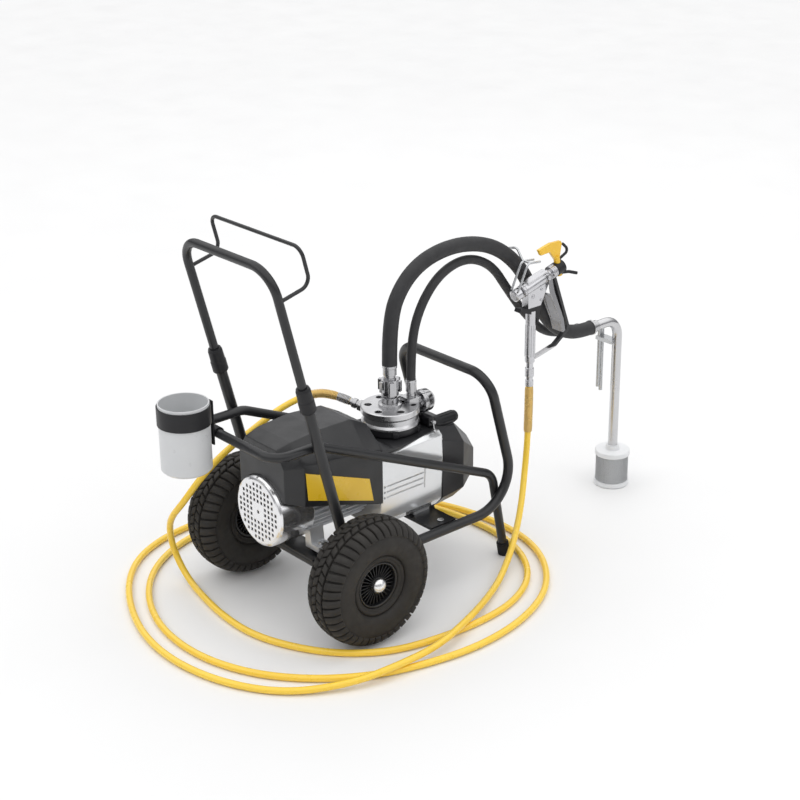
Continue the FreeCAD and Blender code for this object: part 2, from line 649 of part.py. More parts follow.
def make_trigger():
    """Four-finger trigger: two cheeks on the pivot and a bar down past the grip."""
    outline = [(700, 664), (711, 664), (722, 620), (757, 540), (764, 508), (757, 504), (748, 532), (710, 612)]
    cheeks = [prism([[(x, y, z) for y, z in outline], [(x + 3, y, z) for y, z in outline]])
              for x in (GUN_X - 18.6, GUN_X + 15.6)]
    bar_outline = [(716, 606), (722, 609), (757, 530), (764, 508), (757, 504), (750, 530)]
    grip = prism([[(x, y, z) for y, z in bar_outline] for x in (GUN_X - 16, GUN_X + 16)])
    hole = rod((GUN_X - 30, *TRIGGER_PIVOT), (GUN_X + 30, *TRIGGER_PIVOT), 2.8)
    return fused(cheeks + [grip]).cut(hole)


def make_trigger_guard():
    """Strap from the barrel round the trigger to the foot of the grip."""
    outline = [(731, 650), (739.5, 652), (792, 512), (788, 496), (745, 466), (673.5, 451), (673.5, 457),
               (741, 472), (781, 501), (783, 512)]
    return prism([[(x, y, z) for y, z in outline] for x in (GUN_X - 6, GUN_X + 6)])


def make_gun_hook():
    """Wire bail on the rear of the gun: two side bars and a crook over the suction hose."""
    sides = [bar(bent_path([(x, 606, 642), (x, 637, 706), (x, 678, 702)], [14]), 2.8)
             for x in (GUN_X - 11, GUN_X + 11)]
    x = GUN_X - 11
    crook = bar(bent_path([(GUN_X + 11, 645, 705), (x - 4, 645, 706), (x - 26, 646, 733), (x - 58, 647, 724),
                           (x - 62, 648, 698)], [9, 12, 9]), 2.8)
    return fused(sides + [crook])


def make_tip_guard():
    hub = ring(along_barrel(-13.7, 0), along_barrel(12, 0), 17, 8.3)
    seat = rod(along_barrel(-13.7, 0), along_barrel(-9.5, 0), 9)
    hole = rod(along_barrel(0, -30), along_barrel(0, 30), 8.3)
    high = bar(bent_path([along_barrel(2, 12, -8), along_barrel(58, 16, -15), along_barrel(41, 42, -15)], [9]), 3.5)
    low = bar(bent_path([along_barrel(2, -12, 8), along_barrel(20, -18, 13), along_barrel(39, -30, 20)], [20]), 4)
    return fused([hub, seat, high, low]).cut(hole)


def make_spray_tip():
    """Reversible tip: a turned barrel across the guard with a flag to turn it by."""
    barrel = rod(along_barrel(0, -20), along_barrel(0, 34), 8)
    corners = [along_barrel(-8, 27), along_barrel(8, 27), along_barrel(22, 58), along_barrel(20, 65),
               along_barrel(-14, 75), along_barrel(-54, 76), along_barrel(-50, 60), along_barrel(-20, 54)]
    flag = prism([[(x - 4, y, z) for x, y, z in corners], [(x + 4, y, z) for x, y, z in corners]])
    return fused([barrel, flag])


def make_spring_guards():
    """Bend protectors on both ends of the pressure hose, as sleeves round it."""
    sleeves = []
    for end in (HP_ROUTE[:3], HP_ROUTE[:-4:-1]):
        path = bent_path(end)
        sleeves.append(bar(Part.Wire(path.Edges[:2]), HP_R + 3))
    return sleeves


def make_fasteners():
    """Head screws, motor foot bolts and base plate bolts."""
    socket_screw = [(0, 0), (0, 7.5), (8, 7.5), (8, 3.5), (4, 3.5), (4, 0)]
    foot_bolt = [(0, 0), (0, 9), (7, 9), (9, 6), (9, 0)]
    plate_bolt = [(0, 0), (0, 8), (6, 8), (7, 5), (7, 0)]
    parts = [turned(socket_screw, (x, y, BOLT_SEAT_Z), Z) for x, y in head_bolt_places()]
    for side in (-1, 1):
        parts.append(turned(foot_bolt, (side * FOOT_BOLT_X, -12, FOOT_PAD_Z[1]), Z))
        parts.append(turned(plate_bolt, (side * 136, 300, 158), Z))
    return parts


def make_mount_plates():
    """Plate under the pump between the lower rails, and the motor bracket on the cross tube."""
    return [box((-148, 262, 150), (148, 338, 158)), box((-96, -52, 160), (96, 6, 164))]


def make_rubber_mounts():
    return [rod((x, -12, 164), (x, -12, 172), 14) for x in (-68, 68)]


def make_switch():
    return box((SWITCH_X - 3.5, 26, 332), (SWITCH_X + 1, 58, 350))


def save(name, solids):
    solids = solids if isinstance(solids, list) else [solids]
    shape = solids[0] if len(solids) == 1 else Part.makeCompound(solids)
    shape = shape.copy()
    shape.translate(V(0, -MIDDLE_Y, 0))
    good = shape.isValid() and all(solid.Volume > 0 for solid in shape.Solids)
    if not good or len(shape.Solids) != len(solids):
        print("CHECK", name, "valid", shape.isValid(), "solids", len(shape.Solids), "wanted", len(solids))
    shape.exportStep("parts/%s.step" % name)


def report_hose(name, route, radius, solid):
    points = [V(*point) for point in route]
    radii = [bend_radius(*points[index - 1:index + 2]) for index in range(1, len(points) - 1)]
    length = bent_path(route).Length
    print("%s length %.0f tightest bend %.0f volume ratio %.4f" %
          (name, length, min(radii), solid.Volume / (math.pi * radius ** 2 * length)))
    print("   ", [round(value) for value in radii])


def main():
    os.makedirs("parts", exist_ok=True)
    lower_frame, lower_bar = make_lower_frame()
    handle, handle_bar = make_handle()
    axle = rod((-AXLE_END_X - 4, 0, AXLE_Z), (AXLE_END_X + 4, 0, AXLE_Z), AXLE_R)
    cross = rod((-FRAME_X, REAR_CROSS_Y, FRAME_Z), (FRAME_X, REAR_CROSS_Y, FRAME_Z), FRAME_R)
    cross = cross.cut(rod((-FRAME_X, REAR_CROSS_Y, FRAME_Z), (FRAME_X, REAR_CROSS_Y, FRAME_Z), FRAME_R - 2))
    upright = ring(post_point(FRAME_X, FRAME_Z), post_point(FRAME_X, POST_TOP_Z), POST_R, HANDLE_R + SLIDE_GAP)
    upright = upright.cut(lower_bar).cut(axle)
    foot_cap = make_foot_cap()
    cap = make_axle_cap()
    suction = bar(bent_path(SUCTION_ROUTE), SUCTION_R)
    back_hose = bar(bent_path(RETURN_ROUTE), RETURN_R)
    pressure = bar(bent_path(HP_ROUTE), HP_R)
    guards = [sleeve.cut(pressure) for sleeve in make_spring_guards()]
    gun_body = make_gun_body()

    save("lower_frame", lower_frame.cut(axle))
    save("upper_rail", make_upper_rail())
    save("uprights", [upright, mirrored(upright)])
    save("rear_cross_tube", cross.cut(lower_bar))
    save("wheel_axle", axle)
    save("axle_caps", [cap, mirrored(cap)])
    save("rubber_feet", [foot_cap, mirrored(foot_cap)] + make_rubber_mounts())
    save("mount_plates", make_mount_plates())
    save("fasteners", make_fasteners())
    save("handle_tube", handle)
    save("hose_rack", make_rack(handle_bar))
    save("clamp_collar_right", make_collar(FRAME_X))
    save("clamp_collar_left", make_collar(-FRAME_X))
    save("cup", make_cup())
    save("cup_band", make_cup_band())
    save("tyre_right", make_tyre(WHEEL_X))
    save("tyre_left", make_tyre(-WHEEL_X))
    save("rim_right", make_rim(WHEEL_X))
    save("rim_left", mirrored(make_rim(WHEEL_X)))
    save("bearings", make_bearings())
    save("fan_cowl", make_cowl())
    save("motor_housing", make_motor_housing())
    save("end_shields", [make_end_shield(MOTOR_Y[0] - 8, 8), make_end_shield(MOTOR_Y[1] + 4, 6)])
    save("stator", ring((0, 6, SHAFT_Z), (0, 94, SHAFT_Z), MOTOR_R - 6, 42))
    save("rotor_shaft", make_rotor())
    save("cooling_fan", make_fan())
    save("shroud", make_shroud())
    save("label_plate", make_label())
    save("pump_housing", make_pump_housing())
    save("front_cap", make_front_cap())
    save("piston", make_piston())
    save("diaphragm", make_diaphragm())
    save("head_base", make_head_base())
    save("head_disc", make_head_disc())
    save("inlet_valve", make_inlet_valve())
    save("inlet_nut", make_inlet_nut())
    save("valve_block", make_valve_block())
    save("outlet_valve", make_outlet_valve())
    save("valve_box", make_valve_box())
    save("pressure_knob", make_pressure_knob())
    save("relief_lever", make_relief_lever())
    save("outlet_fitting", make_outlet_fitting())
    save("hose_ferrules", make_ferrules())
    save("suction_hose", suction)
    save("return_hose", back_hose)
    save("suction_tube", make_suction_tube())
    save("return_tube", make_return_tube())
    save("strainer_body", make_strainer())
    save("strainer_screen", make_strainer_screen())
    save("pressure_hose", pressure)
    save("spring_guards", guards)
    save("gun_body", gun_body)
    save("gun_grip", make_gun_grip())
    save("gun_saddle", make_gun_saddle())
    save("gun_trigger", make_trigger())
    save("trigger_guard", make_trigger_guard().cut(gun_body))
    save("gun_hook", make_gun_hook().cut(gun_body))
    save("tip_guard", make_tip_guard())
    save("spray_tip", make_spray_tip())
    save("switch_rocker", make_switch())
    report_hose("suction", SUCTION_ROUTE, SUCTION_R, suction)
    report_hose("return", RETURN_ROUTE, RETURN_R, back_hose)
    report_hose("pressure", HP_ROUTE, HP_R, pressure)


main()
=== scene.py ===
import json
import math

import bmesh
import bpy
from mathutils import Matrix, Vector


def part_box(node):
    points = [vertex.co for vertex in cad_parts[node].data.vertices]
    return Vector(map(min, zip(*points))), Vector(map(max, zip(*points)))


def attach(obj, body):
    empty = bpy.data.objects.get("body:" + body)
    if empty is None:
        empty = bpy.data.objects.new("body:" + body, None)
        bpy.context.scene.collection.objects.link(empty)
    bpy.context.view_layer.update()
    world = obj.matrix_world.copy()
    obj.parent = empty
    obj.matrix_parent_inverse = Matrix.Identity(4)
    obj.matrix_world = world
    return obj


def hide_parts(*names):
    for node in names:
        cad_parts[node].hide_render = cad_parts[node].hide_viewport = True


# Airless paint sprayer on a two-wheeled cart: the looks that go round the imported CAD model.
# Metres, +Z up, +Y towards the suction tube, the machine's right side on +X.
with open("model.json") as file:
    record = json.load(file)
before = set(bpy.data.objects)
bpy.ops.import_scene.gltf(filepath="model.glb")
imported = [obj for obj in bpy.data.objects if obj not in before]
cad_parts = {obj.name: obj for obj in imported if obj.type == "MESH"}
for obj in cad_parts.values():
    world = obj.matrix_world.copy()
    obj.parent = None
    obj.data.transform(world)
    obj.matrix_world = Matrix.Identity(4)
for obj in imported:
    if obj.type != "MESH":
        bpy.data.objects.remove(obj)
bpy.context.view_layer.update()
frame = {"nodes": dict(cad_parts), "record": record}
nodes = frame["nodes"]

# Camera
CAMERA_AT = Vector((2.83077, -2.50410, 1.98491))
CAMERA_AZIMUTH = math.radians(49.4)
CAMERA_DOWN = math.radians(22.67)
CAMERA_ROLL = math.radians(-0.55)
CAMERA_LENS = 77.336

# Hoses: size, length and the points of each one's route
SUCTION_DIAMETER = 0.036
RETURN_DIAMETER = 0.022
PRESSURE_DIAMETER = 0.016
SUCTION_ROUTE = [
    (0, -0.1085, 0.525), (0, -0.1085, 0.636), (0.003, -0.0705, 0.716), (0.008, -0.0035, 0.764),
    (0.012, 0.0975, 0.778), (0.014, 0.2055, 0.752), (0.014, 0.2935, 0.683), (0.016, 0.3455, 0.592),
    (0.02, 0.3975, 0.51), (0.026, 0.4395, 0.479), (0.033, 0.4855, 0.466), (0.033, 0.5325, 0.466),
]
RETURN_ROUTE = [
    (0.02, -0.0605, 0.482), (0.02, -0.0605, 0.57), (0.018, -0.0305, 0.655), (0.014, 0.0355, 0.72),
    (0.007, 0.1275, 0.737), (-0.003, 0.2175, 0.696), (-0.013, 0.2825, 0.615),
    (-0.018, 0.3475, 0.535), (-0.014, 0.4355, 0.452), (-0.014, 0.5325, 0.452),
]
HP_ROUTE = [
    (-0.098, -0.1485, 0.414), (-0.15, -0.1715, 0.428), (-0.186, -0.2145, 0.421),
    (-0.205, -0.2805, 0.398), (-0.207, -0.3575, 0.366), (-0.208, -0.4425, 0.332),
    (-0.218, -0.5045, 0.282), (-0.24, -0.5425, 0.222), (-0.276, -0.5525, 0.178),
    (-0.303, -0.5445, 0.134), (-0.305, -0.5365, 0.081), (-0.278, -0.5325, 0.035),
    (-0.232, -0.5345, 0.008), (-0.165, -0.5495, 0.008), (-0.07, -0.5665, 0.008),
    (0.05, -0.5685, 0.008), (0.16, -0.5305, 0.008), (0.252, -0.4685, 0.008),
    (0.318, -0.3775, 0.008), (0.344, -0.2625, 0.008), (0.352, -0.1425, 0.008),
    (0.338, -0.0275, 0.008), (0.285, 0.0775, 0.008), (0.195, 0.1525, 0.008), (0.08, 0.1915, 0.008),
    (-0.06, 0.1915, 0.008), (-0.2, 0.1575, 0.008), (-0.32, 0.0775, 0.008), (-0.4, -0.0425, 0.008),
    (-0.442, -0.1825, 0.008), (-0.452, -0.3325, 0.008), (-0.422, -0.4625, 0.008),
    (-0.348, -0.5755, 0.008), (-0.238, -0.6575, 0.008), (-0.1, -0.7085, 0.008),
    (0.05, -0.7125, 0.008), (0.185, -0.6675, 0.008), (0.29, -0.5845, 0.008),
    (0.368, -0.4725, 0.008), (0.408, -0.3525, 0.008), (0.428, -0.2225, 0.008),
    (0.414, -0.0825, 0.008), (0.362, 0.0525, 0.008), (0.27, 0.1555, 0.008), (0.15, 0.2215, 0.008),
    (0.01, 0.2355, 0.008), (-0.14, 0.2075, 0.008), (-0.28, 0.1375, 0.008), (-0.398, 0.0325, 0.008),
    (-0.466, -0.1075, 0.008), (-0.494, -0.2625, 0.008), (-0.492, -0.4175, 0.008),
    (-0.445, -0.5425, 0.008), (-0.358, -0.6345, 0.008), (-0.235, -0.7075, 0.008),
    (-0.095, -0.7565, 0.008), (0.05, -0.7645, 0.008), (0.19, -0.7285, 0.008), (0.3, -0.6545, 0.008),
    (0.37, -0.5375, 0.016), (0.394, -0.4225, 0.027), (0.388, -0.3025, 0.025),
    (0.352, -0.1875, 0.028), (0.306, -0.0925, 0.018), (0.256, -0.0005, 0.012),
    (0.212, 0.0735, 0.024), (0.164, 0.1475, 0.05), (0.112, 0.2195, 0.096), (0.074, 0.2675, 0.165),
    (0.062, 0.2885, 0.262), (0.062, 0.2885, 0.383),
]

# Spring guards on the pressure hose: the wire's radius, the coil's pitch and radius, the sides of one
# turn, and how the last turns draw in. The steel guard and the gold one beyond it are measured along the
# hose from the pump head, and the gun's guard from the gun.
GUARD_WIRE = 0.0016
GUARD_PITCH = 0.0033
GUARD_RADIUS = 0.0095
GUARD_SIDES = 12
GUARD_TAPER_TURNS = 3
GUARD_TAPER = 0.0009
STEEL_GUARD_START = 0.0005
STEEL_GUARD_END = 0.034
HEAD_GUARD_END = 0.108
GUN_GUARD_START = 0.003
GUN_GUARD_END = 0.122

# Upright axis of the pump head
HEAD_AXIS = (0.0, -0.1085)

# Tyres, rims and axle. A tyre's blocks are placed by the distance along its profile from the crown, and
# past LUG_SHOULDER they get lower.
WHEEL_X = 0.231
WHEEL_Y = -0.3725
WHEEL_Z = 0.150
TYRE_HALF_WIDTH = 0.0515
TYRE_CROWN = 0.1425
TYRE_WIDEST = 0.098
TYRE_BEAD_X = 0.037
TYRE_BEAD_DROP = 0.026
CROWN_POWER = 2 / 2.5
CROWN_STEPS = 32
SIDEWALL_STEPS = 12
LUG_HEIGHT = 0.0072
LUG_SINK = 0.0008
LUG_SHOULDER = 0.040
LUG_SHOULDER_RUN = 0.020
LUG_SHOULDER_DROP = 0.45
LUG_ROUNDED = 0.82
LUG_WIDENING = 0.10
MIDDLE_LUG = (0.0012, 0.0150)
SHOULDER_LUG = (0.0180, 0.0570)
LUG_COUNT = 42
LUG_PITCH = math.tau / LUG_COUNT
LUG_HALF_ANGLE = 0.40 * LUG_PITCH
LUG_LEAN = 0.35 * LUG_PITCH
LUG_AHEAD = 0.30 * LUG_PITCH
SPOKE_COUNT = 28
SPOKE_INNER = 0.0190
SPOKE_OUTER = 0.0478
SPOKE_HALF_WIDTH = 0.0010
SPOKE_LOW = 0.0140
SPOKE_HIGH = 0.0285
AXLE_CAP_X = 0.2625

# Gun: its middle plane, the centre of its tip, the slope of its barrel, the height below which the strap
# of its trigger guard is bright, and the ribs on its grip
GUN_X = 0.062
TIP_CENTRE = Vector((GUN_X, 0.3795, 0.668))
BARREL_SLOPE = math.radians(15.0)
STRAP_BRIGHT_BELOW = 0.4675
GRIP_RIB_RADIUS = 0.0013
GRIP_RIB_RING = 0.0120
GRIP_RIB_LOW = 0.462
GRIP_RIB_HIGH = 0.543

# Strainer's woven wire: the upright wires' radius and number, and the hoops' radius and pitch
SCREEN_WIRE = 0.0007
SCREEN_HOOP = 0.0005
SCREEN_HOOP_PITCH = 0.0036
SCREEN_WIRES = 54

# CAD nodes whose edges are rounded, with the width of the rounding
ROUNDED = {
    "shroud": 0.004, "front_cap": 0.005, "spray_tip": 0.0018, "gun_saddle": 0.002,
    "gun_trigger": 0.0008, "trigger_guard": 0.001, "mount_plates": 0.0008,
}

# Floor, just under the object
FLOOR_REACH = 80.0
FLOOR_Z = -0.0006


# ---------------------------------------------------------------- meshes

def add_object(name, data):
    obj = bpy.data.objects.new(name, data)
    bpy.context.scene.collection.objects.link(obj)
    return obj


def mesh_object(name, verts, faces, edge_angle):
    """A smooth-shaded mesh whose edges are crisp past an angle in degrees."""
    mesh = bpy.data.meshes.new(name)
    mesh.from_pydata([tuple(v) for v in verts], [], faces)
    bm = bmesh.new()
    bm.from_mesh(mesh)
    bmesh.ops.recalc_face_normals(bm, faces=bm.faces)
    for face in bm.faces:
        face.smooth = True
    for edge in bm.edges:
        if len(edge.link_faces) == 2 and edge.calc_face_angle(0) > math.radians(edge_angle):
            edge.smooth = False
    bm.to_mesh(mesh)
    bm.free()
    return add_object(name, mesh)


class Builder:
    """Collects vertices and faces of several shapes for one mesh."""

    def __init__(self):
        self.verts = []
        self.faces = []

    def add(self, verts, faces):
        first = len(self.verts)
        self.verts += verts
        self.faces += [[first + i for i in face] for face in faces]

    def grid(self, rows, close_rows=False, close_columns=False):
        count = len(rows[0])
        faces = []
        for i in range(len(rows) - (0 if close_rows else 1)):
            j = (i + 1) % len(rows)
            for k in range(count - (0 if close_columns else 1)):
                m = (k + 1) % count
                faces.append([i * count + k, i * count + m, j * count + m, j * count + k])
        self.add([p for row in rows for p in row], faces)

    def revolve(self, profile, place, steps=96):
        """profile holds (axial, radius) pairs; place turns local Z into the axis."""
        rows = []
        for a in (math.tau * i / steps for i in range(steps)):
            rows.append([place @ Vector((r * math.cos(a), r * math.sin(a), z)) for z, r in profile])
        self.grid(rows, close_rows=True)

    def sweep(self, line, radius, sides=8, caps=True):
        """A round tube along a line of points."""
        rings = []
        for point, side, up in carried_frames(line):
            rings.append([point + radius * (math.cos(a) * side + math.sin(a) * up)
                          for a in (math.tau * k / sides for k in range(sides))])
        first = len(self.verts)
        self.grid(rings, close_columns=True)
        if caps:
            last = first + (len(rings) - 1) * sides
            self.faces.append([first + k for k in range(sides)])
            self.faces.append([last + k for k in reversed(range(sides))])

    def block(self, low, high, place, bevel):
        """A box with chamfered edges, as a stack of four outlines."""
        lo, hi = Vector(low), Vector(high)
        c = bevel
        rows = []
        for z, inset in ((lo.z, c), (lo.z + c, 0), (hi.z - c, 0), (hi.z, c)):
            x0, x1 = lo.x + inset, hi.x - inset
            y0, y1 = lo.y + inset, hi.y - inset
            ring = [(x0 + c, y0), (x1 - c, y0), (x1, y0 + c), (x1, y1 - c),
                    (x1 - c, y1), (x0 + c, y1), (x0, y1 - c), (x0, y0 + c)]
            rows.append([place @ Vector((x, y, z)) for x, y in ring])
        first = len(self.verts)
        count = len(rows[0])
        self.grid(rows, close_columns=True)
        last = first + (len(rows) - 1) * count
        self.faces.append([first + k for k in reversed(range(count))])
        self.faces.append([last + k for k in range(count)])

    def make(self, name, edge_angle=35):
        return mesh_object(name, self.verts, self.faces, edge_angle)


def carried_frames(line):
    """Each point of a line with two unit vectors across it, carried along without twist."""
    out = []
    side = None
    for i, point in enumerate(line):
        along = (line[min(i + 1, len(line) - 1)] - line[max(i - 1, 0)]).normalized()
        if side is None:
            helper = Vector((0, 0, 1)) if abs(along.z) < 0.9 else Vector((1, 0, 0))
            side = along.cross(helper).normalized()
        side = (side - along * side.dot(along)).normalized()
        out.append((point, side, along.cross(side)))
    return out


def axis_place(origin, along):
    """Turns local Z into a direction."""
    return Matrix.Translation(origin) @ Vector(along).to_track_quat("Z", "Y").to_matrix().to_4x4()


# ---------------------------------------------------------------- materials

class Nodes:
    """A short way to write a shader's nodes."""

    def __init__(self, name):
        self.material = bpy.data.materials.new(name)
        self.material.use_nodes = True
        self.tree = self.material.node_tree
        self.shader = self.tree.nodes["Principled BSDF"]
        self.coords = self.tree.nodes.new("ShaderNodeTexCoord").outputs["Object"]

    def add(self, kind, **inputs):
        node = self.tree.nodes.new(kind)
        for key, value in inputs.items():
            self.put(node.inputs[key.replace("_", " ")], value)
        return node

    def put(self, socket, value):
        if isinstance(value, bpy.types.NodeSocket):
            self.tree.links.new(value, socket)
        else:
            socket.default_value = value

    def math(self, operation, a, b=0.0, clamp=False):
        node = self.tree.nodes.new("ShaderNodeMath")
        node.operation = operation
        node.use_clamp = clamp
        self.put(node.inputs[0], a)
        self.put(node.inputs[1], b)
        return node.outputs[0]

    def noise(self, scale, detail, stretch=None, where=None):
        where = where or self.coords
        if stretch:
            mapping = self.tree.nodes.new("ShaderNodeMapping")
            self.put(mapping.inputs["Vector"], where)
            mapping.inputs["Scale"].default_value = stretch
            where = mapping.outputs[0]
        node = self.add("ShaderNodeTexNoise", Vector=where, Scale=scale, Detail=detail, Roughness=0.55)
        return node.outputs["Fac"]

    def rings_round(self, centre):
        """Coordinates that are the same all round an upright axis: its distance and the height."""
        shift = self.add("ShaderNodeMapping", Vector=self.coords)
        shift.inputs["Location"].default_value = (-centre[0], -centre[1], 0)
        split = self.add("ShaderNodeSeparateXYZ", Vector=shift.outputs[0])
        flat = self.add("ShaderNodeCombineXYZ", X=split.outputs["X"], Y=split.outputs["Y"])
        length = self.tree.nodes.new("ShaderNodeVectorMath")
        length.operation = "LENGTH"
        self.put(length.inputs[0], flat.outputs[0])
        out = self.add("ShaderNodeCombineXYZ", X=length.outputs["Value"], Z=split.outputs["Z"])
        return out.outputs[0]

    def ramp(self, value, low, high, out_low=0.0, out_high=1.0):
        node = self.add("ShaderNodeMapRange", Value=value)
        node.inputs["From Min"].default_value = low
        node.inputs["From Max"].default_value = high
        node.inputs["To Min"].default_value = out_low
        node.inputs["To Max"].default_value = out_high
        return node.outputs[0]

    def mix(self, factor, a, b):
        node = self.tree.nodes.new("ShaderNodeMix")
        node.data_type = "RGBA"
        self.put(node.inputs[0], factor)
        for socket, colour in ((node.inputs[6], a), (node.inputs[7], b)):
            self.put(socket, colour if isinstance(colour, bpy.types.NodeSocket) else (*colour, 1.0))
        return node.outputs[2]

    def worn_edges(self, radius):
        """A normal that rounds the edges, and a value of 1 along them, where it leaves the real one."""
        bevel = self.tree.nodes.new("ShaderNodeBevel")
        bevel.samples = 4
        bevel.inputs["Radius"].default_value = radius
        geometry = self.tree.nodes.new("ShaderNodeNewGeometry")
        dot = self.tree.nodes.new("ShaderNodeVectorMath")
        dot.operation = "DOT_PRODUCT"
        self.put(dot.inputs[0], bevel.outputs[0])
        self.put(dot.inputs[1], geometry.outputs["Normal"])
        return bevel.outputs[0], self.ramp(dot.outputs["Value"], 0.995, 0.86)


def finish(name, colour, rough, metal=0.0, vary=0.12, cloud=9.0, grain=700.0, grain_depth=0.00004,
           rough_vary=0.08, edge=None, edge_mix=0.5, soften=0.0012, coat=0.0, stretch=None,
           specular=0.5, turned_round=None, below=None):
    """A surface with cloudy colour, uneven roughness, a fine grain and edges that catch the light.

    edge is the colour of the edges and soften the width over which they are rounded. stretch scales the
    grain along X, Y and Z, turned_round is the upright axis of a turned piece's grain, and below is a
    height with the colour under it.
    """
    n = Nodes(name)
    dark = tuple(c * (1 - vary) for c in colour)
    light = tuple(min(1.0, c * (1 + vary)) for c in colour)
    clouds = n.noise(cloud, 4)
    base = n.mix(n.ramp(clouds, 0.3, 0.7), dark, light)
    fine = n.noise(grain, 2, stretch, where=n.rings_round(turned_round) if turned_round else None)
    base = n.mix(n.ramp(fine, 0.35, 0.75, 0.0, 0.35), base, dark)
    normal, wear = n.worn_edges(soften)
    if edge:
        patchy = n.math("MULTIPLY", wear, n.ramp(n.noise(60, 4), 0.35, 0.65), True)
        base = n.mix(n.math("MULTIPLY", patchy, edge_mix), base, edge)
    if below:
        height, tint = below
        split = n.add("ShaderNodeSeparateXYZ", Vector=n.coords)
        base = n.mix(n.math("LESS_THAN", split.outputs["Z"], height), base, tint)
    n.put(n.shader.inputs["Base Color"], base)
    smudge = n.noise(cloud * 3.1, 5)
    roughness = n.ramp(smudge, 0.3, 0.7, max(0.02, rough - rough_vary), min(1.0, rough + rough_vary))
    n.put(n.shader.inputs["Roughness"], roughness)
    n.shader.inputs["Metallic"].default_value = metal
    n.shader.inputs["Specular IOR Level"].default_value = specular
    n.shader.inputs["Coat Weight"].default_value = coat
    n.shader.inputs["Coat Roughness"].default_value = 0.12
    bump = n.add("ShaderNodeBump", Height=fine, Normal=normal)
    bump.inputs["Distance"].default_value = grain_depth
    bump.inputs["Strength"].default_value = 0.8
    n.put(n.shader.inputs["Normal"], bump.outputs[0])
    return n.material


